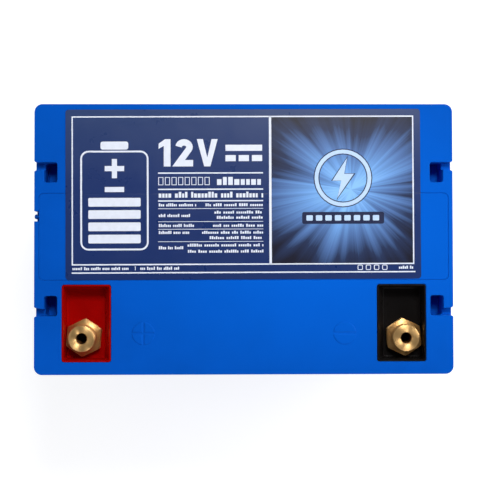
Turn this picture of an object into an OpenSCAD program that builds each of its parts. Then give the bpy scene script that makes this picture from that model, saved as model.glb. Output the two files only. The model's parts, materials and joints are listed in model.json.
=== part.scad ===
// Deep cycle battery: a 12 volt absorbed-glass-mat block of six cells in a row.
// Origin at the centre of the base, +Z up, +X along the block, terminals at the front (-Y).
// The positive terminal is at -X, the negative terminal at +X.

/* [Block] */
// Length over the lid
lid_length = 260; // [257:1:264]
// Width over the lid, front to back
lid_width = 168; // [167:1:171]
// Height from the base to the top face
block_height = 208; // [206:1:216]
// Radius of the upright corners of the lid
lid_corner_r = 5; // [4:0.5:7]
// Depth of the lid from its top face to the edge of its skirt
lid_depth = 34; // [32:1:36]
// Thickness of the lid's roof
lid_roof_t = 3; // [2.6:0.2:3.2]
// Thickness of the lid's side walls above the container's rim
lid_side_t = 5; // [4:0.5:5.5]

/* [Container] */
// Thickness of the container's outer walls at the base
container_wall_t = 3.2; // [2.8:0.2:3.4]
// Thickness of the container's floor
container_floor_t = 3; // [2.4:0.2:3.4]
// Draft of each outer face, base to rim
container_draft = 1; // [0.6:0.1:1.2]
// Thickness of the walls between cells
partition_t = 1.8; // [1.6:0.1:2]
// Depth of the recessed panels on the outer faces
panel_depth = 0.8; // [0.4:0.1:1]

/* [Valve trough] */
// Width of the flush cover over the valves
cover_width = 53.8; // [52:0.2:54.6]
// Distance of the cover's centre line behind the middle of the lid
cover_y = 1.5; // [1.2:0.1:2]
// Width of the strip of lid left at each end of the cover
cover_end_gap = 2.9; // [2.6:0.1:3]
// Depth of the trough's floor below the top face
trough_depth = 18; // [17.5:0.5:18.5]
// Distance that a valve cap can lift off its chimney
cap_lift = 1; // [0.6:0.1:1.2]

/* [Terminals] */
// Width of a terminal well along X
well_length = 30.6; // [30.2:0.1:31.2]
// Width of a terminal well along Y
well_width = 48; // [47.4:0.2:48.6]
// Distance from the lid's end to the well
well_end_gap = 17; // [16.6:0.1:17.4]
// Distance from the lid's front to the well
well_front_gap = 7.8; // [7.4:0.1:8.2]
// Depth of the well's floor below the top face
well_depth = 14; // [13:0.5:14.5]
// Distance across the flats of the terminal's hexagon
hex_across_flats = 21; // [20:0.5:21.5]
// Diameter of the terminal's round face
terminal_face_d = 16.4; // [15:0.2:18]
// Radius of the tapped hole, an M8 thread's inner radius
tapped_hole_r = 3.4; // [3.3:0.05:3.5]
// Turn of the positive hexagon about its axis
positive_hex_turn = -4.8; // [-10:0.2:10]
// Turn of the negative hexagon about its axis
negative_hex_turn = 4.6; // [-10:0.2:10]

/* [Handle slots] */
// Depth of the pocket that takes a rope handle's knot
pocket_depth = 16; // [14:0.5:16.5]
// Depth of the groove that leads out through the end wall
groove_depth = 6; // [5:0.5:7]

/* [Label] */
// Length of the top label
label_length = 220.5; // [210:0.5:222]
// Width of the top label
label_width = 105.8; // [95:0.2:106]
// Thickness of the top label
label_t = 0.2; // [0.1:0.05:0.3]
// Angle that the label is stuck on out of true
label_turn = 0.15; // [-0.4:0.05:0.4]

/* [Cells] */
// Thickness of a positive plate
positive_plate_t = 2.8; // [2.6:0.1:2.9]
// Thickness of one layer of glass mat
mat_t = 1.25; // [1.15:0.05:1.3]
// Height of a plate
plate_height = 144; // [136:1:144]
// Width of a plate
plate_width = 150; // [144:1:151]

/* [Hidden] */
$fn = 64;
CELLS = 6;
POSITIVE_PLATES = 5;
NEGATIVE_PLATES = POSITIVE_PLATES + 1;
FIT = 0.2;          // gap round a part that drops into a recess
CUT = 1;            // how far a cutter runs past the face it opens
NEG = -1;
POS = 1;

// Lid and container
half_length = lid_length / 2;
half_width = lid_width / 2;
roof_z = block_height - lid_roof_t;
skirt_z = block_height - lid_depth;
skirt_lap = 6;
skirt_t = 1.5;
rim_z = skirt_z + skirt_lap;
rim_length = lid_length - 2 * (skirt_t + FIT);
rim_width = lid_width - 2 * (skirt_t + FIT);
base_length = rim_length - 2 * container_draft;
base_width = rim_width - 2 * container_draft;
base_chamfer = 1.5;
cells_length = base_length - 2 * container_wall_t;
cells_width = base_width - 2 * container_wall_t;
cell_pitch = (cells_length + partition_t) / CELLS;
cell_length = cell_pitch - partition_t;
rib_height = 1.75;
rib_t = 3;
rib_y = 45;
corner_r = lid_corner_r;

// Recessed panels on the container, between a foot band and a shoulder band
panel_z0 = 16;
panel_z1 = 164;
panel_side_margin = 14;
panel_end_margin = 16;

// Valve trough
cover_length = lid_length - 2 * cover_end_gap;
cover_t = lid_roof_t;
cover_corner_r = 3;
cover_ledge = 4;
trough_wall_t = 2;
trough_z = block_height - trough_depth;
trough_floor_t = 2.5;
trough_length = cover_length - 2 * cover_ledge;
trough_width = cover_width - 2 * cover_ledge;
chimney_d = 9.9;
chimney_bore_d = 5;
chimney_height = 8;
cap_bore_d = 10;
cap_d = 14;
cap_top_t = 2;
cap_gap = 0.6;
cap_z1 = trough_z + chimney_height + cap_top_t;
stop_d = 8;
stop_gap = 0.2;     // left over between the lifted cap and its stop

// Vent outlet at the -X end
vent_y = 14.2;
vent_z = block_height - 6;
vent_d = 2.8;
vent_bore_d = 1.6;
vent_barb_d = 3.3;
vent_length = 3.6;
vent_seat = 1.7;
vent_notch_width = 6.2;
vent_notch_depth = 9;
frit_d = 4.8;
frit_slot_x = half_length - cover_end_gap - vent_seat;

// Terminal wells, given for the +X end and mirrored
well_x = half_length - well_end_gap - well_length / 2;
well_y = -half_width + well_front_gap + well_width / 2;
well_corner_r = 1.5;
insert_floor_t = 1.2;
insert_wall_t = 0.8;
insert_slope = 4.6;  // how far the inboard wall leans between mouth and floor
insert_rear_slope = 1.3;
insert_front_slope = 0.5;
insert_floor_z = block_height - well_depth;
well_z = insert_floor_z - insert_floor_t;
well_floor_t = 2.5;
housing_t = 2.5;
terminal_x = well_x + 3.2;
terminal_y = well_y - 9.5;
hex_height = 4.5;
face_gap = 1;        // the terminal's face stands this far below the top face
terminal_z1 = block_height - face_gap;
shank_d = 14;
shank_z0 = rim_z;
thread_depth = 16;
mouth_chamfer = 0.8;
insert_hole_d = 14.2;
seal_section_d = 2.4;
seal_bore_d = 14.1;
seal_seat_d = 19;
post_bore_d = 14.05;
post_d = 18;
post_flange_d = 22;
post_flange_t = 3;
post_top_z = well_z - well_floor_t;

// Handle slots, given for the +X +Y corner and mirrored
pocket_x0 = half_length - 14.2;
pocket_x1 = half_length - 6;
pocket_y0 = half_width - 48.8;
pocket_y1 = half_width - 36.3;
pocket_corner_r = 1.5;
pocket_wall_t = 2.4;
groove_y0 = pocket_y1 - 4.3;
groove_mouth = 0.6;  // the groove is wider by this much where it leaves the lid
groove_flare = 1.2;

// Polarity marks
mark_x = 62.4;
mark_y = -half_width + 25.5;
mark_d = 13.8;
mark_height = 0.4;
mark_line = 1.3;

// Label
label_x = -0.35;
label_y = half_width - 3.3 - label_width / 2;
label_corner_r = 2;

// Plates, mats and straps
mat_gap = 0.02;      // clearance on each face of a mat
mat_z0 = container_floor_t + rib_height;
plate_z0 = mat_z0 + mat_t + mat_gap;
plate_z1 = plate_z0 + plate_height;
mat_z1 = plate_z1 + 3;
mat_width = plate_width + 2;
stack_gap = 0.35;
stack_length = cell_length - 2 * stack_gap;
mats_total = 2 * POSITIVE_PLATES * (mat_t + 2 * mat_gap);
negative_plate_t = (stack_length - mats_total - POSITIVE_PLATES * positive_plate_t) / NEGATIVE_PLATES;
plate_pitch = negative_plate_t + positive_plate_t + 2 * (mat_t + 2 * mat_gap);
lug_width = 14;
lug_y = 52;
strap_z0 = plate_z1 + 8;
strap_t = 6;
strap_width = 18;
strap_z1 = strap_z0 + strap_t;
tombstone_t = 3;
tombstone_width = 16;
tombstone_height = 13;
weld_d = 10;
weld_z = strap_z1 + 6;

function cell_x(i) = (i - (CELLS - 1) / 2) * cell_pitch;
function partition_x(i) = (i - CELLS / 2 + 1) * cell_pitch;
// The positive lugs are at the front in every second cell, starting with the first
function positive_side(i) = i % 2 == 0 ? NEG : POS;
function numbered(base, count, tail) = [for (i = [1:count]) str(base, i, tail)];

// A flat plate with round upright corners
module rounded_slab(length, width, height, r) {
    linear_extrude(height) {
        square([length, width - 2 * r], center = true);
        square([length - 2 * r, width], center = true);
        for (x = [NEG, POS], y = [NEG, POS])
            translate([x * (length / 2 - r), y * (width / 2 - r)]) circle(r);
    }
}

// A box from its lowest corner to its highest corner
module box(low, high) {
    translate(low) cube(high - low);
}

module at_four_corners() {
    for (x = [0, 1], y = [0, 1]) mirror([x, 0, 0]) mirror([0, y, 0]) children();
}

// side is NEG for the positive terminal's end and POS for the negative terminal's
module at_end(side) {
    mirror([side == NEG ? 1 : 0, 0, 0]) children();
}

// ---- Container ----

module container_outside() {
    hull() {
        rounded_slab(base_length - 2 * base_chamfer, base_width - 2 * base_chamfer, 0.01, corner_r, $fn = 32);
        translate([0, 0, base_chamfer]) rounded_slab(base_length, base_width, 0.01, corner_r, $fn = 32);
        translate([0, 0, rim_z - 0.01]) rounded_slab(rim_length, rim_width, 0.01, corner_r, $fn = 32);
    }
}

// Leans with the draft, so that the recess has one depth all over
module recessed_panel(length, face_base, face_rim) {
    slope = (face_rim - face_base) / rim_z;
    face_0 = face_base + slope * panel_z0;
    face_1 = face_base + slope * panel_z1;
    rotate([90, 0, 90]) translate([0, 0, -length / 2]) linear_extrude(length)
        polygon([
            [face_0 - panel_depth, panel_z0],
            [face_0 + CUT, panel_z0],
            [face_1 + CUT, panel_z1],
            [face_1 - panel_depth, panel_z1]
        ]);
}

module container() {
    long_panel = base_length - 2 * panel_side_margin;
    end_panel = base_width - 2 * panel_end_margin;
    color("royalblue") difference() {
        container_outside();
        for (i = [0:CELLS - 1])
            translate([cell_x(i) - cell_length / 2, -cells_width / 2, container_floor_t])
                cube([cell_length, cells_width, rim_z]);
        for (a = [0, 180]) rotate(a) recessed_panel(long_panel, base_width / 2, rim_width / 2);
        for (a = [90, 270]) rotate(a) recessed_panel(end_panel, base_length / 2, rim_length / 2);
        for (i = [0:CELLS - 2])
            translate([partition_x(i), -positive_side(i) * lug_y, weld_z]) rotate([0, 90, 0])
                cylinder(d = weld_d, h = partition_t + CUT, center = true);
    }
    // Ribs that hold the glass mats off the floor
    color("royalblue") for (i = [0:CELLS - 1], y = [NEG, POS])
        translate([cell_x(i) - cell_length / 2 - 0.1, y * rib_y - rib_t / 2, container_floor_t - 0.1])
            cube([cell_length + 0.2, rib_t, rib_height + 0.1]);
}

// ---- Lid ----

module lid_hollows() {
    for (i = [0:CELLS - 1]) {
        x0 = i == 0 ? -half_length + lid_side_t : cell_x(i) - cell_length / 2;
        x1 = i == CELLS - 1 ? half_length - lid_side_t : cell_x(i) + cell_length / 2;
        box([x0, -half_width + lid_side_t, rim_z - CUT], [x1, half_width - lid_side_t, roof_z]);
    }
}

// Walls and floors that stay standing inside the hollows
module lid_housings() {
    translate([0, cover_y, trough_z - trough_floor_t])
        rounded_slab(lid_length, cover_width + 2 * trough_wall_t, trough_depth, 1);
    for (side = [NEG, POS]) at_end(side)
        translate([well_x, well_y, well_z - well_floor_t])
            rounded_slab(well_length + 2 * housing_t, well_width + 2 * housing_t, well_depth, 1);
    at_four_corners() box(
        [pocket_x0 - pocket_wall_t, pocket_y0 - pocket_wall_t, block_height - pocket_depth - pocket_wall_t],
        [half_length, pocket_y1 + pocket_wall_t, block_height]);
}

module handle_slot() {
    middle = [(pocket_x0 + pocket_x1) / 2, (pocket_y0 + pocket_y1) / 2];
    translate([middle.x, middle.y, block_height - pocket_depth])
        rounded_slab(pocket_x1 - pocket_x0, pocket_y1 - pocket_y0, pocket_depth + CUT, pocket_corner_r);
    translate([0, 0, block_height - groove_depth]) linear_extrude(groove_depth + CUT)
        polygon([
            [pocket_x1 - pocket_corner_r, groove_y0],
            [pocket_x1, groove_y0],
            [half_length - groove_flare, groove_y0 - groove_mouth],
            [half_length + CUT, groove_y0 - groove_mouth - groove_flare],
            [half_length + CUT, pocket_y1 + groove_flare],
            [half_length - groove_flare, pocket_y1],
            [pocket_x1 - pocket_corner_r, pocket_y1]
        ]);
}

// A raised disc with a groove right across it, or two crossed grooves for the positive one
module polarity_mark(side) {
    translate([side * mark_x, mark_y, block_height]) difference() {
        translate([0, 0, -0.1]) cylinder(d = mark_d, h = mark_height + 0.1);
        linear_extrude(CUT) {
            square([mark_d + CUT, mark_line], center = true);
            if (side == NEG) square([mark_line, mark_d + CUT], center = true);
        }
    }
}

module vent_passage() {
    face_x = -half_length + cover_end_gap;
    translate([face_x - CUT, vent_y, vent_z]) rotate([0, 90, 0])
        cylinder(d = vent_d, h = vent_seat + CUT);
    translate([-frit_slot_x, vent_y, vent_z]) rotate([0, 90, 0])
        cylinder(d = frit_d, h = cover_ledge + CUT);
    box(
        [-half_length - CUT, vent_y - vent_notch_width / 2, block_height - vent_notch_depth],
        [face_x, vent_y + vent_notch_width / 2, block_height + CUT]);
}

module lid() {
    color("dodgerblue") difference() {
        translate([0, 0, skirt_z]) rounded_slab(lid_length, lid_width, lid_depth, lid_corner_r);
        translate([0, 0, skirt_z - CUT])
            rounded_slab(lid_length - 2 * skirt_t, lid_width - 2 * skirt_t, skirt_lap + CUT, corner_r);
        difference() {
            lid_hollows();
            lid_housings();
        }
        translate([0, cover_y, roof_z])
            rounded_slab(cover_length + 0.1, cover_width + 0.1, cover_t + CUT, cover_corner_r);
        translate([0, cover_y, trough_z]) rounded_slab(trough_length, trough_width, trough_depth, 2);
        for (i = [0:CELLS - 1]) translate([cell_x(i), cover_y, rim_z])
            cylinder(d = chimney_bore_d, h = trough_depth);
        for (side = [NEG, POS]) at_end(side) {
            translate([well_x, well_y, well_z])
                rounded_slab(well_length, well_width, well_depth + CUT + insert_floor_t, well_corner_r);
            translate([terminal_x, terminal_y, rim_z]) cylinder(d = seal_seat_d, h = well_z - rim_z + CUT);
        }
        at_four_corners() handle_slot();
        vent_passage();
    }
    color("dodgerblue") for (side = [NEG, POS]) polarity_mark(side);
    color("dodgerblue") for (i = [0:CELLS - 1]) translate([cell_x(i), cover_y, trough_z - 0.1]) difference() {
        cylinder(d = chimney_d, h = chimney_height + 0.1);
        translate([0, 0, -CUT]) cylinder(d = chimney_bore_d, h = chimney_height + 2 * CUT);
    }
}

// ---- Valves and vent ----

module valve_cover() {
    stop_z = cap_z1 + cap_lift + stop_gap;
    color("dodgerblue") {
        translate([0, cover_y, roof_z]) rounded_slab(cover_length, cover_width, cover_t, cover_corner_r);
        for (i = [0:CELLS - 1]) translate([cell_x(i), cover_y, stop_z])
            cylinder(d = stop_d, h = roof_z - stop_z + 0.1);
    }
}

module valve_cap(i) {
    z0 = trough_z + cap_gap;
    color("black") translate([cell_x(i), cover_y, 0]) difference() {
        translate([0, 0, z0]) cylinder(d = cap_d, h = cap_z1 - z0);
        translate([0, 0, z0 - CUT]) cylinder(d = cap_bore_d, h = cap_z1 - cap_top_t - z0 + CUT);
    }
}

module vent_nozzle() {
    face_x = -half_length + cover_end_gap;
    tip_x = face_x - vent_length;
    color("steelblue") translate([0, vent_y, vent_z]) rotate([0, 90, 0]) rotate_extrude()
        polygon([
            [vent_bore_d / 2, tip_x],
            [vent_d / 2 - 0.2, tip_x],
            [vent_barb_d / 2, tip_x + 1.2],
            [vent_d / 2, tip_x + 1.4],
            [vent_d / 2, face_x + vent_seat],
            [vent_bore_d / 2, face_x + vent_seat]
        ]);
}

module flame_arrestor() {
    color("ivory") translate([-frit_slot_x, vent_y, vent_z]) rotate([0, 90, 0])
        cylinder(d = frit_d, h = cover_ledge - vent_seat);
}

// ---- Terminals ----

// The hollow of a well insert: [near, far] pairs for its floor, continued upwards by the lean of each wall
module leaning_hollow(floor_x, floor_y, lean_x0, lean_y0, lean_y1) {
    rise = (well_depth + CUT) / well_depth;
    top_z = block_height + CUT;
    intersection() {
        translate([0, floor_y[1] + lean_y1 * rise, 0]) rotate([90, 0, 0])
            linear_extrude(floor_y[1] - floor_y[0] + (lean_y0 + lean_y1) * rise) polygon([
                [floor_x[0], insert_floor_z],
                [floor_x[1], insert_floor_z],
                [floor_x[1], top_z],
                [floor_x[0] - lean_x0 * rise, top_z]
            ]);
        translate([floor_x[0] - lean_x0 * rise, 0, 0]) rotate([90, 0, 90])
            linear_extrude(floor_x[1] - floor_x[0] + lean_x0 * rise) polygon([
                [floor_y[0], insert_floor_z],
                [floor_y[1], insert_floor_z],
                [floor_y[1] + lean_y1 * rise, top_z],
                [floor_y[0] - lean_y0 * rise, top_z]
            ]);
    }
}

module well_insert(side) {
    outer_length = well_length - 2 * FIT;
    outer_width = well_width - 2 * FIT;
    wall = [insert_wall_t, -insert_wall_t];
    floor_x = [well_x, well_x] + [-0.5, 0.5] * outer_length + wall + [insert_slope, 0];
    floor_y = [well_y, well_y] + [-0.5, 0.5] * outer_width + wall + [insert_front_slope, -insert_rear_slope];
    color(side == NEG ? "firebrick" : "black") at_end(side) difference() {
        translate([well_x, well_y, well_z])
            rounded_slab(outer_length, outer_width, well_depth + insert_floor_t, well_corner_r);
        leaning_hollow(floor_x, floor_y, insert_slope, insert_front_slope, insert_rear_slope);
        translate([terminal_x, terminal_y, well_z - CUT])
            cylinder(d = insert_hole_d, h = insert_floor_t + 2 * CUT);
    }
}

module terminal(side) {
    turn = side == NEG ? positive_hex_turn : negative_hex_turn;
    color("goldenrod") translate([side * terminal_x, terminal_y, 0]) difference() {
        union() {
            translate([0, 0, shank_z0]) cylinder(d = shank_d, h = terminal_z1 - shank_z0);
            translate([0, 0, insert_floor_z]) rotate(30 + turn)
                cylinder(d = hex_across_flats / cos(30), h = hex_height, $fn = 6);
            translate([0, 0, insert_floor_z]) cylinder(d = terminal_face_d, h = terminal_z1 - insert_floor_z);
        }
        translate([0, 0, terminal_z1 - thread_depth]) cylinder(r = tapped_hole_r, h = thread_depth + CUT);
        translate([0, 0, terminal_z1 - mouth_chamfer])
            cylinder(r1 = tapped_hole_r, r2 = tapped_hole_r + mouth_chamfer, h = mouth_chamfer);
    }
}

module terminal_seal(side) {
    color("dimgray") translate([side * terminal_x, terminal_y, well_z - seal_section_d / 2])
        rotate_extrude() translate([(seal_bore_d + seal_section_d) / 2, 0]) circle(d = seal_section_d);
}

module post(side) {
    color("slategray") translate([side * terminal_x, terminal_y, 0]) difference() {
        union() {
            translate([0, 0, strap_z1]) cylinder(d = post_d, h = post_top_z - strap_z1);
            translate([0, 0, post_top_z - post_flange_t]) cylinder(d = post_flange_d, h = post_flange_t);
        }
        translate([0, 0, shank_z0]) cylinder(d = post_bore_d, h = post_top_z);
    }
}

// ---- Cells ----

module plate_with_lug(t, y) {
    translate([-t / 2, -plate_width / 2, plate_z0]) cube([t, plate_width, plate_height]);
    translate([-t / 2, y - lug_width / 2, plate_z1 - 0.1]) cube([t, lug_width, strap_z0 - plate_z1 + 0.1]);
}

module positive_plates(i) {
    color("saddlebrown") translate([cell_x(i), 0, 0]) for (k = [0:POSITIVE_PLATES - 1])
        translate([(k - (POSITIVE_PLATES - 1) / 2) * plate_pitch, 0, 0])
            plate_with_lug(positive_plate_t, positive_side(i) * lug_y);
}

module negative_plates(i) {
    color("gray") translate([cell_x(i), 0, 0]) for (k = [0:NEGATIVE_PLATES - 1])
        translate([(k - (NEGATIVE_PLATES - 1) / 2) * plate_pitch, 0, 0])
            plate_with_lug(negative_plate_t, -positive_side(i) * lug_y);
}

// One folded mat round each positive plate, open at the top
module glass_mat(i) {
    inner = positive_plate_t / 2 + mat_gap;
    outer = inner + mat_t;
    color("white") translate([cell_x(i), mat_width / 2, 0]) for (k = [0:POSITIVE_PLATES - 1])
        translate([(k - (POSITIVE_PLATES - 1) / 2) * plate_pitch, 0, 0]) rotate([90, 0, 0])
            linear_extrude(mat_width) polygon([
                [-outer, mat_z0],
                [outer, mat_z0],
                [outer, mat_z1],
                [inner, mat_z1],
                [inner, mat_z0 + mat_t],
                [-inner, mat_z0 + mat_t],
                [-inner, mat_z1],
                [-outer, mat_z1]
            ]);
}

// link is NEG or POS for a strap welded through the wall on that side, and 0 for one with a post
module strap(i, side, link) {
    y = side * lug_y;
    post_pad = post_d / 2 + abs(terminal_y);
    wall = link * cell_length / 2;
    color("slategray") translate([cell_x(i), 0, 0]) {
        translate([0, y, (strap_z0 + strap_z1) / 2])
            cube([stack_length, strap_width, strap_t], center = true);
        if (link == 0)
            box([-stack_length / 2, -post_pad, strap_z0], [stack_length / 2, -lug_y, strap_z1]);
        else
            translate([wall - link * tombstone_t / 2, y, strap_z0 + (strap_t + tombstone_height) / 2])
                cube([tombstone_t, tombstone_width, strap_t + tombstone_height], center = true);
    }
}

module positive_strap(i) {
    strap(i, positive_side(i), i == 0 ? 0 : NEG);
}

module negative_strap(i) {
    strap(i, -positive_side(i), i == CELLS - 1 ? 0 : POS);
}

// i is the wall's number, and the weld joins the straps on its two sides
module intercell_weld(i) {
    color("slategray") translate([partition_x(i), -positive_side(i) * lug_y, weld_z]) rotate([0, 90, 0])
        cylinder(d = weld_d, h = partition_t, center = true);
}

// ---- Label ----

module top_label() {
    color("navy") translate([label_x, label_y, block_height]) rotate(label_turn)
        rounded_slab(label_length, label_width, label_t, label_corner_r);
}

container();
lid();
valve_cover();
top_label();
vent_nozzle();
flame_arrestor();
well_insert(NEG);  // well_insert_pos
well_insert(POS);  // well_insert_neg
terminal(NEG);  // terminal_pos
terminal(POS);  // terminal_neg
terminal_seal(NEG);  // terminal_seal_pos
terminal_seal(POS);  // terminal_seal_neg
post(NEG);  // post_pos
post(POS);  // post_neg
for (i = [0:CELLS - 1]) {
    valve_cap(i);
    positive_plates(i);
    negative_plates(i);
    glass_mat(i);
    positive_strap(i);
    negative_strap(i);
}
for (i = [0:CELLS - 2])
    intercell_weld(i);
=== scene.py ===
"""Looks for the deep cycle battery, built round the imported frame. Metres, +Z up, terminals at -Y."""

import json
import math
import random

import bmesh
import bpy
from mathutils import Matrix, Vector


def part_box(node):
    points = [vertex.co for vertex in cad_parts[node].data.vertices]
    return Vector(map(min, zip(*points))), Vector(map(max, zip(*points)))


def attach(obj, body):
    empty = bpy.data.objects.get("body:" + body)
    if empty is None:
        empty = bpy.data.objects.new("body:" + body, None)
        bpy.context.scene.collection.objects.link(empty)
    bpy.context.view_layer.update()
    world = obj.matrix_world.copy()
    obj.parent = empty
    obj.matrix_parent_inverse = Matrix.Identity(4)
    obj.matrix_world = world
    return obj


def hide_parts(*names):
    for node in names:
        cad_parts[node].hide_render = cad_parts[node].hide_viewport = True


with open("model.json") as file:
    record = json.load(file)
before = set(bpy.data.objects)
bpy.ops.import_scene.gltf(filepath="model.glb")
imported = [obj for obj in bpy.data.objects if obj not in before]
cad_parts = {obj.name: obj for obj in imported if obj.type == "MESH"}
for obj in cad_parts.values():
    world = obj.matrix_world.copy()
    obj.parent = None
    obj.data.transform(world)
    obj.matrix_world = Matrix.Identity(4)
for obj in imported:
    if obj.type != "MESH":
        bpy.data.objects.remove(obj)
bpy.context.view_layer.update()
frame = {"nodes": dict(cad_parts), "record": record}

MM = 0.001
LID_LOW, LID_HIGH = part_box("lid")
CONTAINER_LOW, CONTAINER_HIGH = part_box("container")
COVER_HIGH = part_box("valve_cover")[1]
LABEL_LOW, LABEL_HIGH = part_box("top_label")
TOP_Z = COVER_HIGH.z
BATTERY = "battery"


# ---------------------------------------------------------------- camera, floor and light

CAMERA_PLACE = (-2.9 * MM, -18.0 * MM, 579 * MM)    # from the middle of the lid's top face
CAMERA_TILT = (1.1, -0.68, -0.107)                  # degrees away from straight down
CAMERA_LENS = 67.06
SENSOR_WIDTH = 36

# Name, direction from the lid, distance and side in metres, power in watts
LIGHTS = (
    ("key_rear_right", (0.14, 0.46, 0.875), 1.2, 0.28, 7.8),
    ("fill_right", (0.85, 0.25, 0.50), 1.2, 0.6, 7.5),
    ("fill_left", (-0.85, 0.1, 0.5), 1.3, 0.7, 1.2),
    ("fill_front", (0.2, -0.8, 0.55), 1.3, 0.22, 3),
)
# Where the sky's two colours begin, as the height of a direction, 0 at the horizon and 1 overhead
SKY = ((0.70, (0.80, 0.82, 0.85)), (0.93, (0.12, 0.12, 0.13)))
SKY_STRENGTH = 0.50
FLOOR_HALF_SIDE = 12
FLOOR_GLOW = 0.75


def add_camera():
    data = bpy.data.cameras.new("camera")
    data.sensor_width = SENSOR_WIDTH
    data.lens = CAMERA_LENS
    data.clip_start = 0.01
    camera = bpy.data.objects.new("camera", data)
    camera.location = Vector(CAMERA_PLACE) + Vector((0, 0, TOP_Z))
    camera.rotation_euler = [math.radians(a) for a in CAMERA_TILT]
    bpy.context.scene.collection.objects.link(camera)
    bpy.context.scene.camera = camera


def add_area_light(name, direction, distance, size, power):
    """A square soft light that shines at the lid from that direction."""
    data = bpy.data.lights.new(name, "AREA")
    data.shape = "SQUARE"
    data.size = size
    data.energy = power
    light = bpy.data.objects.new(name, data)
    toward = Vector(direction).normalized()
    light.location = Vector((0, 0, TOP_Z)) + toward * distance
    light.rotation_euler = toward.to_track_quat("Z", "Y").to_euler()
    bpy.context.scene.collection.objects.link(light)


def add_lights():
    for light in LIGHTS:
        add_area_light(*light)


def add_world():
    """Soft white all round, darker straight overhead so that the flat lid keeps its colour."""
    world = bpy.data.worlds.new("studio")
    bpy.context.scene.world = world
    world.use_nodes = True
    tree = world.node_tree
    background = tree.nodes["Background"]
    direction = tree.nodes.new("ShaderNodeTexCoord")
    split = tree.nodes.new("ShaderNodeSeparateXYZ")
    ramp = tree.nodes.new("ShaderNodeValToRGB")
    for element, (position, color) in zip(ramp.color_ramp.elements, SKY):
        element.position = position
        element.color = (*color, 1)
    tree.links.new(direction.outputs["Generated"], split.inputs[0])
    tree.links.new(split.outputs["Z"], ramp.inputs[0])
    tree.links.new(ramp.outputs["Color"], background.inputs["Color"])
    background.inputs["Strength"].default_value = SKY_STRENGTH


def add_floor():
    corners = ((-1, -1), (1, -1), (1, 1), (-1, 1))
    mesh = bpy.data.meshes.new("floor")
    mesh.from_pydata([(x * FLOOR_HALF_SIDE, y * FLOOR_HALF_SIDE, CONTAINER_LOW.z) for x, y in corners],
                     [], [(0, 1, 2, 3)])
    floor = bpy.data.objects.new("floor", mesh)
    bpy.context.scene.collection.objects.link(floor)
    paint = Paint("pale_floor", (0.45, 0.45, 0.45), roughness=0.9, specular=0.0)
    paint.bsdf.inputs["Emission Color"].default_value = (1, 1, 1, 1)
    paint.bsdf.inputs["Emission Strength"].default_value = FLOOR_GLOW
    mesh.materials.append(paint.material)


# ---------------------------------------------------------------- material building

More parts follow.
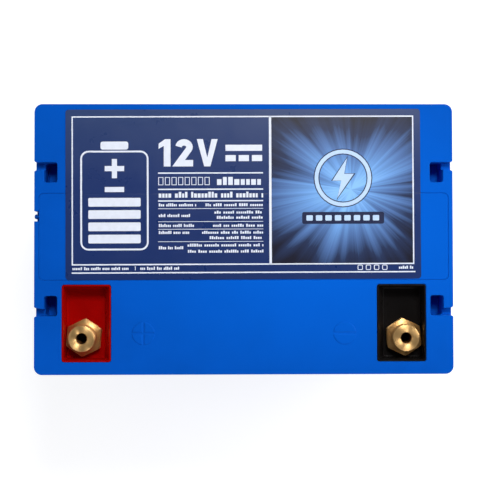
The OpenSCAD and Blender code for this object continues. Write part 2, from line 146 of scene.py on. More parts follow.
class Paint:
    """One material and the few kinds of node that the finishes are built from."""

    def __init__(self, name, color, roughness=0.5, metallic=0.0, specular=0.5):
        self.material = bpy.data.materials.new(name)
        self.material.use_nodes = True
        self.tree = self.material.node_tree
        self.bsdf = self.tree.nodes["Principled BSDF"]
        self.color = color
        self.bsdf.inputs["Base Color"].default_value = (*color, 1)
        self.bsdf.inputs["Roughness"].default_value = roughness
        self.bsdf.inputs["Metallic"].default_value = metallic
        self.bsdf.inputs["Specular IOR Level"].default_value = specular
        self.coords = self.node("ShaderNodeTexCoord").outputs["Object"]

    def node(self, kind, **settings):
        made = self.tree.nodes.new(kind)
        for key, value in settings.items():
            setattr(made, key, value)
        return made

    def link(self, source, target):
        self.tree.links.new(source, target)

    def math(self, operation, a, b=0.0):
        made = self.node("ShaderNodeMath", operation=operation)
        for socket, value in zip(made.inputs, (a, b)):
            if isinstance(value, (int, float)):
                socket.default_value = value
            else:
                self.link(value, socket)
        return made.outputs[0]

    def scaled(self, scale, offset=(0, 0, 0)):
        """Object coordinates, moved by offset and then stretched by scale along each axis."""
        made = self.node("ShaderNodeMapping", vector_type="POINT")
        made.inputs["Location"].default_value = [-o * s for o, s in zip(offset, scale)]
        made.inputs["Scale"].default_value = scale
        self.link(self.coords, made.inputs["Vector"])
        return made.outputs[0]

    def split(self, vector):
        made = self.node("ShaderNodeSeparateXYZ")
        self.link(vector, made.inputs[0])
        return made.outputs

    def noise(self, grain, detail=3.0, rough=0.55, vector=None, stretch=(1, 1, 1)):
        """Noise whose features are about grain metres across."""
        made = self.node("ShaderNodeTexNoise")
        made.inputs["Scale"].default_value = 1.0
        made.inputs["Detail"].default_value = detail
        made.inputs["Roughness"].default_value = rough
        self.link(vector or self.scaled([s / grain for s in stretch]), made.inputs["Vector"])
        return made.outputs["Fac"]

    def ramp(self, value, stops):
        """stops is a list of (position, colour)."""
        made = self.node("ShaderNodeValToRGB")
        elements = made.color_ramp.elements
        while len(elements) < len(stops):
            elements.new(0.5)
        for element, (position, color) in zip(elements, stops):
            element.position = position
            element.color = (*color, 1) if len(color) == 3 else color
        self.link(value, made.inputs[0])
        return made.outputs["Color"]

    def span(self, value, from_low, from_high, low, high):
        """value taken from one range to another, held at the ends."""
        made = self.node("ShaderNodeMapRange")
        for socket, number in zip(list(made.inputs)[1:5], (from_low, from_high, low, high)):
            socket.default_value = number
        self.link(value, made.inputs[0])
        return made.outputs[0]

    def blend(self, factor, first, second):
        """Two colours, each a tuple or a socket, mixed by factor."""
        made = self.node("ShaderNodeMix", data_type="RGBA")
        factor_in, first_in, second_in = made.inputs[0], made.inputs[6], made.inputs[7]
        self.link(factor, factor_in)
        for socket, color in ((first_in, first), (second_in, second)):
            if isinstance(color, tuple):
                socket.default_value = (*color, 1)
            else:
                self.link(color, socket)
        return made.outputs[2]

    def mottle(self, grain, spread):
        """Base colour that drifts lighter and darker by spread."""
        dark = tuple(c * (1 - spread) for c in self.color)
        light = tuple(min(1, c * (1 + spread)) for c in self.color)
        drift = self.noise(grain)
        self.link(self.ramp(drift, [(0.35, dark), (0.65, light)]), self.bsdf.inputs["Base Color"])
        return drift

    def vary_roughness(self, grain, low, high):
        self.link(self.span(self.noise(grain, detail=4), 0.3, 0.7, low, high), self.bsdf.inputs["Roughness"])

    def bump(self, height, depth, strength=1.0):
        """Adds a relief of depth metres to what is there already."""
        made = self.node("ShaderNodeBump")
        made.inputs["Strength"].default_value = strength
        made.inputs["Distance"].default_value = depth
        self.link(height, made.inputs["Height"])
        normal_in = self.bsdf.inputs["Normal"]
        if normal_in.links:
            self.link(normal_in.links[0].from_socket, made.inputs["Normal"])
        self.link(made.outputs[0], normal_in)


def moulded_plastic(name, color, rough=(0.34, 0.42), relief=0.012 * MM, tint=(0.12, 0.5, 1.0)):
    """Satin moulded polypropylene: slow colour drift, fine eroded grain and faint handling marks."""
    paint = Paint(name, color, specular=0.06)
    paint.bsdf.inputs["Specular Tint"].default_value = (*tint, 1)
    paint.mottle(38 * MM, 0.05)
    paint.vary_roughness(9 * MM, *rough)
    paint.bump(paint.noise(0.45 * MM, detail=2, rough=0.6), relief, 0.5)
    paint.bump(paint.noise(26 * MM, detail=1), 0.05 * MM, 0.3)
    return paint


def lid_plastic(name):
    """The lid's blue with a painted pool of light: paler over the open middle and darker along the edges, as
    the light falls on it.
    """
    pale, light_pool_centre, light_pool_reach = (0.0015, 0.112, 0.62), (45 * MM, 4 * MM), (125 * MM, 70 * MM)
    paint = moulded_plastic(name, (0.0015, 0.080, 0.46))
    mottled_blue = paint.bsdf.inputs["Base Color"].links[0].from_socket
    length = paint.node("ShaderNodeVectorMath", operation="LENGTH")
    from_centre = paint.scaled((1 / light_pool_reach[0], 1 / light_pool_reach[1], 0), offset=(*light_pool_centre, 0))
    paint.link(from_centre, length.inputs[0])
    # Painted pool of light: the middle is painted paler blue, fading out to the darker mottled blue at the
    # edges.
    middle = paint.span(length.outputs["Value"], 0.25, 1.35, 1.0, 0.0)
    paint.link(paint.blend(middle, mottled_blue, pale), paint.bsdf.inputs["Base Color"])
    return paint


def turned_brass():
    """Brass faced on a lathe: fine rings about the piece's own Z axis spread each light into a streak.

    The piece's face is at its own Z = 0, and painted shade darkens the thread from there down.
    """
    paint = Paint("turned_brass", (0.84, 0.52, 0.21), roughness=0.44, metallic=1.0)
    paint.mottle(5 * MM, 0.04)
    paint.bsdf.inputs["Anisotropic"].default_value = 0.85
    paint.bsdf.inputs["Anisotropic Rotation"].default_value = 0.25
    tangent = paint.node("ShaderNodeTangent", direction_type="RADIAL", axis="Z")
    paint.link(tangent.outputs[0], paint.bsdf.inputs["Tangent"])
    x, y, z = paint.split(paint.coords)
    radius = paint.math("SQRT", paint.math("ADD", paint.math("MULTIPLY", x, x), paint.math("MULTIPLY", y, y)))
    ring_pitch, bore_shade_color, bore_shade_depth, thread_r = 0.22 * MM, (0.10, 0.040, 0.014), 2.6 * MM, 4.2 * MM
    rings = paint.math("SINE", paint.math("MULTIPLY", radius, 2 * math.pi / ring_pitch))
    mottled_brass = paint.bsdf.inputs["Base Color"].links[0].from_socket
    # Painted shade in the threaded hole: the brass darkens from 0.5 mm below the face down to the thread's
    # depth.
    above = paint.span(z, -bore_shade_depth, -0.5 * MM, 0.0, 1.0)
    outside = paint.span(radius, thread_r, thread_r + 0.1 * MM, 0.0, 1.0)
    paint.link(paint.blend(paint.math("MAXIMUM", above, outside), bore_shade_color, mottled_brass),
               paint.bsdf.inputs["Base Color"])
    paint.bump(rings, 0.002 * MM, 0.5)
    paint.bump(paint.noise(0.6 * MM, detail=3), 0.003 * MM, 0.3)
    return paint


def cast_lead():
    paint = Paint("cast_lead", (0.24, 0.25, 0.27), roughness=0.5, metallic=0.85)
    paint.mottle(3 * MM, 0.22)
    paint.vary_roughness(2 * MM, 0.42, 0.68)
    paint.bump(paint.noise(0.9 * MM, detail=4), 0.05 * MM, 0.6)
    return paint


def plate_paste(name, color):
    """Paste pressed into a cast grid, whose bars show as faint raised lines."""
    paint = Paint(name, color, roughness=0.85, specular=0.2)
    paint.mottle(1.8 * MM, 0.25)
    x, y, z = paint.split(paint.coords)
    for coordinate, pitch in ((y, 11 * MM), (z, 6 * MM)):
        wave = paint.math("COSINE", paint.math("MULTIPLY", coordinate, 2 * math.pi / pitch))
        paint.bump(paint.span(wave, 0.86, 1.0, 0.0, 1.0), 0.12 * MM, 0.8)
    paint.bump(paint.noise(0.5 * MM, detail=4), 0.04 * MM, 0.8)
    return paint


def felted_glass():
    paint = Paint("felted_glass", (0.83, 0.83, 0.80), roughness=0.95, specular=0.1)
    paint.mottle(5 * MM, 0.06)
    paint.bump(paint.noise(0.35 * MM, detail=5, stretch=(1, 0.25, 1)), 0.05 * MM, 0.9)
    return paint


def moulded_rubber():
    paint = Paint("moulded_rubber", (0.022, 0.022, 0.024), roughness=0.62, specular=0.35)
    paint.mottle(4 * MM, 0.2)
    paint.bump(paint.noise(0.25 * MM, detail=3), 0.02 * MM, 0.6)
    return paint


def sintered_frit():
    paint = Paint("sintered_frit", (0.72, 0.70, 0.64), roughness=0.9, specular=0.2)
    paint.mottle(0.4 * MM, 0.2)
    paint.bump(paint.noise(0.2 * MM, detail=2), 0.08 * MM, 1.0)
    return paint


def label_film():
    """Navy printed film under a thin laminate, with a painted sheen that makes it a little lighter towards
    the rear.
    """
    front, middle, rear = (0.010, 0.027, 0.120), (0.013, 0.031, 0.128), (0.027, 0.050, 0.142)
    paint = Paint("label_film", middle, roughness=0.3, specular=0.28)
    y = paint.split(paint.coords)["Y"]
    across = paint.span(y, -FILM_HALF_WIDTH, FILM_HALF_WIDTH, 0.0, 1.0)
    # Painted sheen: the navy is painted lighter from the front towards the rear, where the key light stands.
    film_sheen_color = paint.ramp(across, [(0.0, front), (0.55, middle), (1.0, rear)])
    paint.link(film_sheen_color, paint.bsdf.inputs["Base Color"])
    paint.vary_roughness(14 * MM, 0.26, 0.36)
    paint.bump(paint.noise(7 * MM, detail=2), 0.02 * MM, 0.35)
    return paint


def light_burst():
    """Rays that spread from one bright point, for the picture panel of the label."""
    paint = Paint("light_burst", (0.2, 0.4, 0.7), roughness=0.3, specular=0.35)
    centre, squeeze, dark_radius = label_point(176.5, 55.5), (0.85, 1.22, 0), 66 * MM
    from_centre = paint.scaled(squeeze, offset=(*centre, 0))
    length = paint.node("ShaderNodeVectorMath", operation="LENGTH")
    paint.link(from_centre, length.inputs[0])
    radius = length.outputs["Value"]
    unit = paint.node("ShaderNodeVectorMath", operation="NORMALIZE")
    paint.link(from_centre, unit.inputs[0])

    def rays(count, detail):
        spread = paint.node("ShaderNodeVectorMath", operation="SCALE")
        spread.inputs["Scale"].default_value = count
        paint.link(unit.outputs[0], spread.inputs[0])
        return paint.noise(1.0, detail=detail, vector=spread.outputs[0])

    broad = paint.span(rays(1.6, 1), 0.3, 0.7, -13 * MM, 13 * MM)
    fine = paint.span(rays(9, 5), 0.25, 0.75, -11 * MM, 11 * MM)
    edge = paint.math("ADD", radius, paint.math("ADD", broad, fine))
    fade = paint.span(edge, 0, dark_radius, 0.0, 1.0)
    paint.link(paint.ramp(fade, [
        (0.00, (0.25, 0.52, 0.90)),
        (0.22, (0.15, 0.34, 0.71)),
        (0.48, (0.074, 0.155, 0.37)),
        (0.70, (0.017, 0.030, 0.084)),
        (0.92, (0.008, 0.008, 0.021)),
    ]), paint.bsdf.inputs["Base Color"])
    return paint


def ink(name, color):
    """Flat printing ink under the laminate."""
    paint = Paint(name, color, roughness=0.32, specular=0.3)
    paint.mottle(3 * MM, 0.03)
    paint.vary_roughness(5 * MM, 0.28, 0.38)
    return paint


# ---------------------------------------------------------------- mesh building

def add_object(name, mesh, paint, replaces=(), location=(0, 0, 0)):
    piece = bpy.data.objects.new(name, mesh)
    piece.location = location
    bpy.context.scene.collection.objects.link(piece)
    mesh.materials.clear()
    mesh.materials.append(paint.material)
    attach(piece, BATTERY)
    if replaces:
        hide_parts(*replaces)
    return piece


def from_bmesh(name, bm):
    bmesh.ops.recalc_face_normals(bm, faces=bm.faces)
    mesh = bpy.data.meshes.new(name)
    bm.to_mesh(mesh)
    bm.free()
    return mesh


SHARP = math.radians(25)                   # edges that bend more than this are rounded
FLAT = math.radians(0.4)                   # and faces that bend less are joined
MOST_LEAN = math.cos(math.radians(35))     # of a corner's normal from its face's
BEVEL_SEGMENTS = 3
NEAR = 0.06                                # mm


def straighten_normals(mesh):
    """Gives a corner its face's own normal where it leans further than any rounding here makes it lean."""
    normals = [corner.vector.copy() for corner in mesh.corner_normals]
    for face in mesh.polygons:
        for corner in face.loop_indices:
            if normals[corner].dot(face.normal) < MOST_LEAN:
                normals[corner] = face.normal.copy()
    mesh.normals_split_custom_set(normals)


def softened(node, edge_width, split_x=(), reshape=None):
    """A CAD node's mesh with its sharp edges rounded.

    edge_width gives each edge's radius in mm from its two ends in mm. split_x lists places where flat faces
    are kept apart, so that a face round a hole never closes on itself. reshape moves a point given in mm.
    """
    bm = bmesh.new()
    bm.from_mesh(frame["nodes"][node].data)
    bmesh.ops.remove_doubles(bm, verts=bm.verts, dist=0.002 * MM)
    for x in split_x:
        cut = bmesh.ops.bisect_plane(bm, geom=bm.verts[:] + bm.edges[:] + bm.faces[:], dist=0.001 * MM,
                                     plane_co=(x, 0, 0), plane_no=(1, 0, 0))
        for element in cut["geom_cut"]:
            if isinstance(element, bmesh.types.BMEdge):
                element.seam = True
    bmesh.ops.dissolve_limit(bm, angle_limit=FLAT, verts=bm.verts, edges=bm.edges, delimit={"SEAM"})
    weights = bm.edges.layers.float.new("bevel_weight_edge")
    widths = {}
    for edge in bm.edges:
        if len(edge.link_faces) == 2 and edge.calc_face_angle(0) > SHARP:
            edge.smooth = False
            widths[edge] = edge_width(*(v.co / MM for v in edge.verts))
    widest = max(widths.values())
    for edge, width in widths.items():
        edge[weights] = width / widest
    for face in bm.faces:
        face.smooth = True
    if reshape:
        for vert in bm.verts:
            vert.co = reshape(vert.co / MM) * MM
    mesh = bpy.data.meshes.new(node + "_soft")
    bm.to_mesh(mesh)
    bm.free()
    work = bpy.data.objects.new(node + "_work", mesh)
    bpy.context.scene.collection.objects.link(work)
    bevel = work.modifiers.new("round", "BEVEL")
    bevel.limit_method = "WEIGHT"
    bevel.width = widest * MM
    bevel.segments = BEVEL_SEGMENTS
    bevel.use_clamp_overlap = False
    bevel.harden_normals = True
    bevel.miter_outer = "MITER_ARC"
    done = bpy.data.meshes.new_from_object(work.evaluated_get(bpy.context.evaluated_depsgraph_get()))
    bpy.data.objects.remove(work)
    straighten_normals(done)
    return done


def near(value, target):
    return abs(value - target) < NEAR


# ---------------------------------------------------------------- lid, container, cover and inserts

# All in mm. The raised polarity marks on the lid, as the CAD has them
MARK_X, MARK_Y = 62.4, -58.5
MARK_R = 6.9
MARK_HALF_GROOVE = 0.65
# How far their outer wall leans each way from there, and the groove's half width at its mouth and floor
MARK_LEAN = 0.3
GROOVE_MOUTH, GROOVE_FLOOR = 1.1, 0.3

# Radii of moulded edges
RIM_R, OPENING_R, MARK_EDGE_R, SKIRT_R, SLOT_R = 0.32, 0.45, 0.14, 0.4, 0.35
CONTAINER_R, COVER_R = 0.5, 0.35
CUP_RIM_R, CUP_CORNER_R = 0.3, 0.9

LID_CORNER = 5.5                    # the lid's rounded corners lie within this of its sides
SLOT_DEPTH, SLOT_REACH = 17, 6.5    # from the top face, and from the lid's end
CELL_HALF_LENGTH, CELL_HALF_WIDTH = 120, 77
CUP_DEPTH = 14
SHANK_CLEAR = 8                     # the cup's hole for the terminal is within this of its axis


def lid_edge_width(a, b):
    top, skirt = TOP_Z / MM, LID_LOW.z / MM
    half_length, half_width = LID_HIGH.x / MM, LID_HIGH.y / MM
    on_top = near(a.z, top) and near(b.z, top)

    def at_rim(p):
        return abs(p.x) > half_length - 0.1 or abs(p.y) > half_width - 0.1 or (
            abs(p.x) > half_length - LID_CORNER and abs(p.y) > half_width - LID_CORNER)

    def in_slot(p):
        return p.z > top - SLOT_DEPTH and abs(p.x) > half_length - SLOT_REACH

    if on_top and at_rim(a) and at_rim(b):
        return RIM_R
    if on_top:
        mark = math.hypot(abs(a.x) - MARK_X, a.y - MARK_Y) < MARK_R + 1
        return 0.0 if mark else OPENING_R
    if near(a.z, LID_HIGH.z / MM) and near(b.z, LID_HIGH.z / MM):
        return MARK_EDGE_R
    if near(a.z, skirt) and near(b.z, skirt):
        return SKIRT_R if at_rim(a) else 0.0
    if in_slot(a) and in_slot(b):
        return SLOT_R if abs(a.y - b.y) < 0.01 or near(a.z, b.z) else 0.0
    return 0.0


def slope_marks(p):
    """Draws out the walls of the raised polarity marks and of their grooves into moulded slopes.

    The mark at negative x is the positive one, which has the second groove.
    """
    raised, foot = near(p.z, LID_HIGH.z / MM), near(p.z, TOP_Z / MM)
    side = math.copysign(1, p.x)
    x, y = p.x - side * MARK_X, p.y - MARK_Y
    if not (raised or foot) or math.hypot(x, y) > MARK_R + 0.1:
        return p
    on_wall = math.hypot(x, y) > MARK_R - 0.1
    half_groove = GROOVE_MOUTH if raised else GROOVE_FLOOR
    if near(abs(y), MARK_HALF_GROOVE):
        y = math.copysign(half_groove, y)
    if side < 0 and near(abs(x), MARK_HALF_GROOVE):
        x = math.copysign(half_groove, x)
    if on_wall:
        grow = (MARK_R + (-MARK_LEAN if raised else MARK_LEAN)) / math.hypot(x, y)
        x, y = x * grow, y * grow
    return Vector((side * MARK_X + x, MARK_Y + y, p.z))


def add_lid(blue):
    """The lid, its top split through the marks and the wells as well as down the middle."""
    splits = [0, -MARK_X * MM, MARK_X * MM]
    for cup in ("well_insert_pos", "well_insert_neg"):
        low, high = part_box(cup)
        splits.append((low[0] + high[0]) / 2)
    mesh = softened("lid", lid_edge_width, split_x=splits, reshape=slope_marks)
    add_object("lid_shell", mesh, blue, ["lid"])


def add_container(blue):
    def width(a, b):
        at_foot, at_brim = max(a.z, b.z) < 2, min(a.z, b.z) > CONTAINER_HIGH.z / MM - 1
        inside = min(abs(a.x), abs(b.x)) < CELL_HALF_LENGTH and min(abs(a.y), abs(b.y)) < CELL_HALF_WIDTH
        return 0.0 if at_brim or (inside and not at_foot) else CONTAINER_R
    add_object("container_shell", softened("container", width), blue, ["container"])


def add_cover(blue):
    def width(a, b):
        on_top = near(a.z, TOP_Z / MM) and near(b.z, TOP_Z / MM)
        return COVER_R if on_top else 0.0
    add_object("valve_cover_plate", softened("valve_cover", width), blue, ["valve_cover"])


def add_inserts(red, black):
    for node, terminal, paint, slot in (("well_insert_pos", "terminal_pos", red, "red_insert"),
                                        ("well_insert_neg", "terminal_neg", black, "black_insert")):
        low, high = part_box(terminal)
        hole = (low + high) / 2 / MM

        def width(a, b):
            floor_z = TOP_Z / MM - CUP_DEPTH
            if (a.xy - hole.xy).length < SHANK_CLEAR:
                return 0.0
            if near(a.z, TOP_Z / MM) and near(b.z, TOP_Z / MM):
                return CUP_RIM_R
            upright = abs(a.z - b.z) > 10
            return CUP_CORNER_R if upright or (near(a.z, floor_z) and near(b.z, floor_z)) else 0.0

        add_object(node.replace("insert", "cup"), softened(node, width, split_x=[hole.x * MM]), paint,
                   [node])


# ---------------------------------------------------------------- terminals

TURNED_SHARP = math.radians(28)
POSITIVE_TURN, NEGATIVE_TURN = -4.8, 4.6    # of each hexagon, in degrees from a corner towards +Y


def rings_mesh(name, rings):
    """A closed skin through rings of equal length, from the first ring's centre to the last ring's centre."""
    bm = bmesh.new()
    loops = [[bm.verts.new(p) for p in ring] for ring in rings]
    count = len(rings[0])
    for lower, upper in zip(loops, loops[1:]):
        for i in range(count):
            j = (i + 1) % count
            bm.faces.new((lower[i], lower[j], upper[j], upper[i]))
    bm.faces.new(reversed(loops[0]))
    bm.faces.new(loops[-1])
    for face in bm.faces:
        face.smooth = True
    for edge in bm.edges:
        if len(edge.link_faces) == 2 and edge.calc_face_angle(0) > TURNED_SHARP:
            edge.smooth = False
    return from_bmesh(name, bm)


def add_terminal(node, turn_degrees, brass):
    """Hexagon with a turned chamfer, round boss and a real thread in the hole, about its own axis."""
    low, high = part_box(node)
    axis_x, axis_y = (low.x + high.x) / 2, (low.y + high.y) / 2
    sides, per_side, thread_steps = 6, 16, 8
    count = sides * per_side
    across_flats, corner_r = 21 * MM, 12.0 * MM
    shank_r, face_r, bore_r, major_r = 7 * MM, 8.2 * MM, 3.4 * MM, 4.0 * MM
    hex_z0, hex_z1 = TOP_Z - 14 * MM, TOP_Z - 9.5 * MM
    chamfer_r, chamfer_slope = 11.5 * MM, math.tan(math.radians(30))
    pitch, hole_z0 = 1.25 * MM, high.z - 16 * MM
    turn = math.radians(30 + turn_degrees)
    angles = [turn + 2 * math.pi * i / count for i in range(count)]

    def hex_r(angle):
        off_flat = (angle - turn - math.pi / sides) % (2 * math.pi / sides)
        flat_r = across_flats / 2 / math.cos(min(off_flat, 2 * math.pi / sides - off_flat))
        return min(flat_r, corner_r)

    def ring(radius, z):
        """radius and z are numbers, or functions of the angle."""
        points = []
        for angle in angles:
            r = radius(angle) if callable(radius) else radius
            height = z(angle) if callable(z) else z
            points.append((r * math.cos(angle), r * math.sin(angle), height))
        return points

    def drop(angle):
        return max(0.0, hex_r(angle) - chamfer_r) * chamfer_slope

    rings = [ring(shank_r - 0.6 * MM, low.z), ring(shank_r, low.z + 0.6 * MM), ring(shank_r, hex_z0)]
    rings += [ring(lambda a: min(hex_r(a), chamfer_r), hex_z0), ring(hex_r, lambda a: hex_z0 + drop(a))]
    rings += [ring(hex_r, lambda a: hex_z1 - drop(a)), ring(lambda a: min(hex_r(a), chamfer_r), hex_z1)]
    rings += [ring(face_r + 0.3 * MM, hex_z1), ring(face_r, hex_z1 + 0.3 * MM)]
    rings += [ring(face_r, high.z - 0.35 * MM), ring(face_r - 0.1 * MM, high.z - 0.1 * MM),
              ring(face_r - 0.35 * MM, high.z)]
    rings += [ring(major_r + 0.15 * MM, high.z), ring(bore_r + 0.05 * MM, high.z - 0.7 * MM)]
    thread_top = high.z - 0.9 * MM
    steps = int((thread_top - hole_z0) / pitch * thread_steps)
    for step in range(steps + 1):
        z = thread_top - (thread_top - hole_z0) * step / steps
        fade = min(1.0, step / thread_steps)

        def thread_r(angle, z=z, fade=fade):
            phase = (z / pitch - angle / (2 * math.pi)) % 1.0
            root = min(1.0, max(0.0, 1.2 - 1.4 * abs(2 * phase - 1)))
            return bore_r + (major_r - bore_r) * root * fade

        rings.append(ring(thread_r, z))
    rings.append(ring(0.3 * MM, hole_z0 - 1.2 * MM))
    mesh = rings_mesh(node + "_turned", rings)
    mesh.transform(Matrix.Translation((0, 0, -high.z)))
    add_object(node + "_turned", mesh, brass, [node], location=(axis_x, axis_y, high.z))


# ---------------------------------------------------------------- label

FILM_TOP_Z = LABEL_HIGH.z - 0.01 * MM
INK_LAYER = 0.02 * MM
LABEL_CENTRE = (LABEL_LOW + LABEL_HIGH) / 2
FILM_HALF_LENGTH, FILM_HALF_WIDTH = 110.25 * MM, 52.9 * MM
FILM_TURN = math.radians(0.15)      # the film is stuck on this far out of true
PRINT_MARGIN = (0.7, 0.25)          # from the film's lower left corner to the print's, in mm


def label_point(u, v):
    """A place on the print, u and v in mm from its lower left corner, measured from the label's centre."""
    return ((u + PRINT_MARGIN[0]) * MM - FILM_HALF_LENGTH, (v + PRINT_MARGIN[1]) * MM - FILM_HALF_WIDTH)


def add_label_piece(name, bm, paint, replaces=()):
    mesh = from_bmesh(name, bm)
    mesh.transform(Matrix.Rotation(FILM_TURN, 4, "Z"))
    add_object(name, mesh, paint, replaces, location=(LABEL_CENTRE.x, LABEL_CENTRE.y, 0))


def add_prism(bm, outline, layer=1):
    """A thin flat shape of ink. outline is in label mm; higher layers lie on lower ones."""
    z0, z1 = FILM_TOP_Z, FILM_TOP_Z + 0.01 * MM + layer * INK_LAYER
    low = [bm.verts.new((*label_point(u, v), z0)) for u, v in outline]
    high = [bm.verts.new((*label_point(u, v), z1)) for u, v in outline]
    bm.faces.new(high)
    bm.faces.new(reversed(low))
    for i in range(len(outline)):
        j = (i + 1) % len(outline)
        bm.faces.new((low[i], low[j], high[j], high[i]))


def rectangle(u0, v0, u1, v1):
    return [(u0, v0), (u1, v0), (u1, v1), (u0, v1)]


def arc(cu, cv, ru, rv, start, end, steps):
    """Points on an ellipse, from start to end degrees."""
    sweep = [math.radians(start + (end - start) * i / steps) for i in range(steps + 1)]
    return [(cu + ru * math.cos(a), cv + rv * math.sin(a)) for a in sweep]


def rounded(u0, v0, u1, v1, r, steps=6):
    corners = ((u1 - r, v0 + r, -90), (u1 - r, v1 - r, 0), (u0 + r, v1 - r, 90), (u0 + r, v0 + r, 180))
    return [p for cu, cv, start in corners for p in arc(cu, cv, r, r, start, start + 90, steps)]


def add_stroke(bm, points, width, closed=False, layer=1):
    """A line of ink through points with mitred corners, one quad prism to a stretch."""
    path = [Vector(p) for p in points]
    count = len(path)
    sides = []
    for i, here in enumerate(path):
        before = path[i - 1] if i > 0 or closed else None
        after = path[(i + 1) % count] if i < count - 1 or closed else None
        into = (here - before).normalized() if before is not None else (after - here).normalized()
        out = (after - here).normalized() if after is not None else into
        normal = Vector((-(into + out).y, (into + out).x)).normalized()
        reach = width / 2 / max(0.3, normal.dot(Vector((-into.y, into.x))))
        sides.append((here + normal * reach, here - normal * reach))
    for i in range(count if closed else count - 1):
        (a, b), (c, d) = sides[i], sides[(i + 1) % count]
        add_prism(bm, [tuple(b), tuple(d), tuple(c), tuple(a)], layer)


def add_blocks(bm, u0, u1, v0, height, pitch, rng):
    """A line of small blocks, grouped like words, that stands in for a line of text."""
    u, left = u0, 0
    while u < u1 - pitch * 0.5:
        if left == 0:
            left = rng.randint(3, 8)
            if u > u0:
                u += pitch * 0.8
        tall = rng.random() < 0.35
        width = pitch * rng.uniform(0.55, 0.8)
        add_prism(bm, rectangle(u, v0, min(u + width, u1), v0 + height * (1 if tall else 0.72)))
        u += width + pitch * 0.22
        left -= 1


def add_figures(bm):
    """The rating, 12 V, and the sign for direct current, in bold narrow strokes."""
    v0, v1, w = 70.0, 87.0, 4.0
    half = w / 2
    add_prism(bm, [(60.2, v0), (64.4, v0), (64.4, v1), (61.0, v1), (57.0, v1 - 2.8), (57.0, v1 - 6.0),
                   (60.2, v1 - 4.2)])
    two = arc(72.8, v1 - half - 2.9, 3.4, 2.9, 175, -32, 12) + [(69.4, v0 + half), (78.4, v0 + half)]
    add_stroke(bm, two, w)
    add_prism(bm, [(80.7, v1), (85.3, v0), (89.1, v0), (87.2, v0 + 5.6), (84.5, v1)])
    add_prism(bm, [(93.7, v1), (89.9, v1), (87.2, v0 + 5.6), (89.1, v0)])
    add_prism(bm, rectangle(98.5, 79.6, 121.3, 83.4))
    for i in range(3):
        add_prism(bm, rectangle(98.5 + i * 8.2, 73.2, 104.9 + i * 8.2, 77.0))


def add_battery_sign(bm):
    """An upright battery with bars of charge, and plus and minus signs."""
    add_stroke(bm, rounded(9.0, 18.6, 50.2, 79.4, 4.5), 1.1, closed=True)
    add_prism(bm, rounded(21.0, 80.6, 38.2, 85.6, 1.4))
    for i in range(4):
        v = 22.4 + i * 7.6
        add_prism(bm, rounded(13.4, v, 45.8, v + 5.4, 0.8))
    add_prism(bm, rectangle(23.6, 67.2, 35.6, 70.4))
    add_prism(bm, rectangle(28.0, 70.4, 31.2, 74.8))
    add_prism(bm, rectangle(28.0, 62.8, 31.2, 67.2))
    add_prism(bm, rectangle(23.6, 54.2, 35.6, 57.4))


def add_white_print():
    """Frames, rules and blocks that stand in for text. Places are in label mm."""
    rng = random.Random(24)
    bm = bmesh.new()
    left, right, divider, bottom, top = 3.5, 215.2, 126.3, 9.2, 101.0
    add_stroke(bm, rectangle(left, bottom, right, top), 0.8, closed=True)
    add_prism(bm, rectangle(divider - 0.75, bottom, divider + 0.75, top))
    add_prism(bm, rectangle(left - 0.4, 3.7, 216.2, 4.5))
    add_figures(bm)
    add_battery_sign(bm)
    rule_left, text_left, text_right = 56.6, 57.0, 121.8
    for heights, half_rule in (((65.9, 55.8, 48.6), 0.4), ((43.8, 35.7, 31.0, 23.3), 0.16)):
        for v in heights:
            add_prism(bm, rectangle(rule_left, v - half_rule, text_right, v + half_rule))
    for i in range(8):
        add_stroke(bm, rectangle(57.0 + i * 4.1, 58.6, 59.7 + i * 4.1, 63.2), 0.42, closed=True)
    add_blocks(bm, 93.2, text_right, 58.4, 5.0, 4.0, rng)
    add_blocks(bm, rule_left + 0.4, text_right, 50.6, 3.6, 2.3, rng)
    rows = [(80.5, 45.2, [(86.0, 45.2)]), (77.0, 38.6, [(91.5, 40.6), (93.0, 37.4)]),
            (79.5, 32.4, [(90.6, 32.4)]), (76.0, 28.1, [(83.8, 28.1), (88.5, 24.8)]),
            (73.0, 18.6, [(74.8, 20.2), (75.0, 16.4)])]
    for name_end, name_v, values in rows:
        add_blocks(bm, text_left, name_end, name_v, 1.9, 1.25, rng)
        for start, v in values:
            add_blocks(bm, start, text_right, v, 1.8, 1.5, rng)
    for u0, u1 in ((3.6, 38.5), (45.5, 69.5), (206.0, 215.6)):
        add_blocks(bm, u0, u1, 5.9, 1.9, 1.2, rng)
    add_prism(bm, rectangle(42.2, 5.7, 42.6, 8.1))
    for u in (180.5, 185.6, 190.7, 195.8):
        add_stroke(bm, rounded(u, 5.5, u + 2.8, 8.3, 0.5, 2), 0.45, closed=True)
    return bm


def add_emblem(pale_bm, dark_bm):
    """A plain lightning bolt in a round ring, over a bar of small blocks."""
    cu, cv, ring_r = 171.5, 62.5, 16.5
    ring = arc(cu, cv, ring_r, ring_r, 0, 350, 35)
    add_stroke(dark_bm, ring, 3.6, closed=True, layer=2)
    add_stroke(pale_bm, ring, 2.4, closed=True, layer=3)
    bolt = [(2.6, 12.5), (-6.6, -1.6), (-1.0, -1.6), (-3.6, -12.5), (6.8, 2.6), (0.8, 2.6)]
    add_prism(dark_bm, [(cu + u * 1.14 + 0.1, cv + v * 1.1) for u, v in bolt], 4)
    add_prism(pale_bm, [(cu + u, cv + v) for u, v in bolt], 5)
    add_prism(dark_bm, rounded(146.0, 34.0, 197.0, 41.4, 1.2), 2)
    for i in range(8):
        u = 148.6 + i * 5.9
        add_prism(pale_bm, rounded(u, 36.0, u + 4.0, 39.4, 0.5, 2), 3)


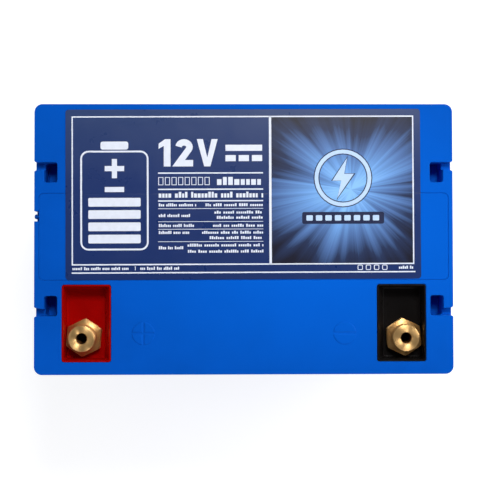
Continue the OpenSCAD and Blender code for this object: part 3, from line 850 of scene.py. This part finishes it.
def add_label_film(paint):
    """The film sags a hair into the joint round the valve cover, which it bridges."""
    bm = bmesh.new()
    seam, dip, reach = COVER_HIGH.y - LABEL_CENTRE.y, 0.06 * MM, 0.5 * MM
    radius, thickness = 2 * MM, LABEL_HIGH.z - LABEL_LOW.z
    rows = [(seam - reach, 0), (seam - reach / 2, dip * 0.6), (seam, dip), (seam + reach / 2, dip * 0.6),
            (seam + reach, 0)]
    steps = 6
    for i in range(steps + 1):
        angle = math.pi / 2 * i / steps
        rows.append((-FILM_HALF_WIDTH + radius * (1 - math.cos(angle)), 0))
        rows.append((FILM_HALF_WIDTH - radius * (1 - math.cos(angle)), 0))
    rows.sort()

    def inset(y):
        edge = FILM_HALF_WIDTH - abs(y)
        short = max(0.0, radius - edge)
        return radius - math.sqrt(max(0.0, radius ** 2 - short ** 2))

    top, base = [], []
    for y, sag in rows:
        half = FILM_HALF_LENGTH - inset(y)
        top.append([bm.verts.new((x, y, FILM_TOP_Z - sag)) for x in (-half, half)])
        base.append([bm.verts.new((x, y, LABEL_HIGH.z - thickness)) for x in (-half, half)])
    for k in range(len(rows) - 1):
        bm.faces.new((top[k][0], top[k][1], top[k + 1][1], top[k + 1][0]))
        bm.faces.new((base[k][0], base[k + 1][0], base[k + 1][1], base[k][1]))
        for side in (0, 1):
            bm.faces.new((top[k][side], top[k + 1][side], base[k + 1][side], base[k][side]))
    bm.faces.new((top[0][0], top[0][1], base[0][1], base[0][0]))
    bm.faces.new((top[-1][0], top[-1][1], base[-1][1], base[-1][0]))
    add_label_piece("label_film", bm, paint, ["top_label"])


def add_label():
    add_label_film(label_film())
    panel = bmesh.new()
    add_prism(panel, rectangle(127.1, 9.6, 214.8, 100.6), layer=0.5)
    add_label_piece("label_picture", panel, light_burst())
    add_label_piece("label_print_white", add_white_print(), ink("ink_white", (0.74, 0.78, 0.88)))
    pale, dark = bmesh.new(), bmesh.new()
    add_emblem(pale, dark)
    add_label_piece("label_print_pale", pale, ink("ink_pale", (0.50, 0.66, 0.92)))
    add_label_piece("label_print_dark", dark, ink("ink_dark", (0.012, 0.018, 0.06)))


# ---------------------------------------------------------------- put together

def finish_cad_nodes():
    """Materials for the CAD nodes that are shown as they are, most of them inside the block."""
    finishes = {
        "nozzle": moulded_plastic("nozzle_plastic", (0.004, 0.085, 0.42)),
        "frit": sintered_frit(),
        "seal_rubber": moulded_rubber(),
        "lead": cast_lead(),
        "positive_paste": plate_paste("positive_paste", (0.085, 0.032, 0.014)),
        "negative_paste": plate_paste("negative_paste", (0.20, 0.21, 0.22)),
        "glass_mat": felted_glass(),
    }
    finishes["cap_rubber"] = finishes["seal_rubber"]
    for part in frame["record"]["subparts"]:
        paint = finishes.get(part["material_slot"])
        if paint:
            mesh = frame["nodes"][part["node"]].data
            mesh.materials.clear()
            mesh.materials.append(paint.material)


def build():
    bpy.context.scene.view_settings.view_transform = "Standard"
    add_camera()
    add_lights()
    add_world()
    add_floor()
    add_lid(lid_plastic("lid_blue"))
    add_cover(lid_plastic("cover_blue"))
    add_container(moulded_plastic("container_blue", (0.0015, 0.075, 0.42), rough=(0.40, 0.55)))
    add_inserts(moulded_plastic("insert_red", (0.34, 0.0015, 0.001), rough=(0.25, 0.36), relief=0.006 * MM,
                                tint=(1.0, 0.2, 0.2)),
                moulded_plastic("insert_black", (0.007, 0.006, 0.006), rough=(0.25, 0.36), relief=0.006 * MM,
                                tint=(1.0, 1.0, 1.0)))
    brass = turned_brass()
    add_terminal("terminal_pos", POSITIVE_TURN, brass)
    add_terminal("terminal_neg", NEGATIVE_TURN, brass)
    add_label()
    finish_cad_nodes()


build()
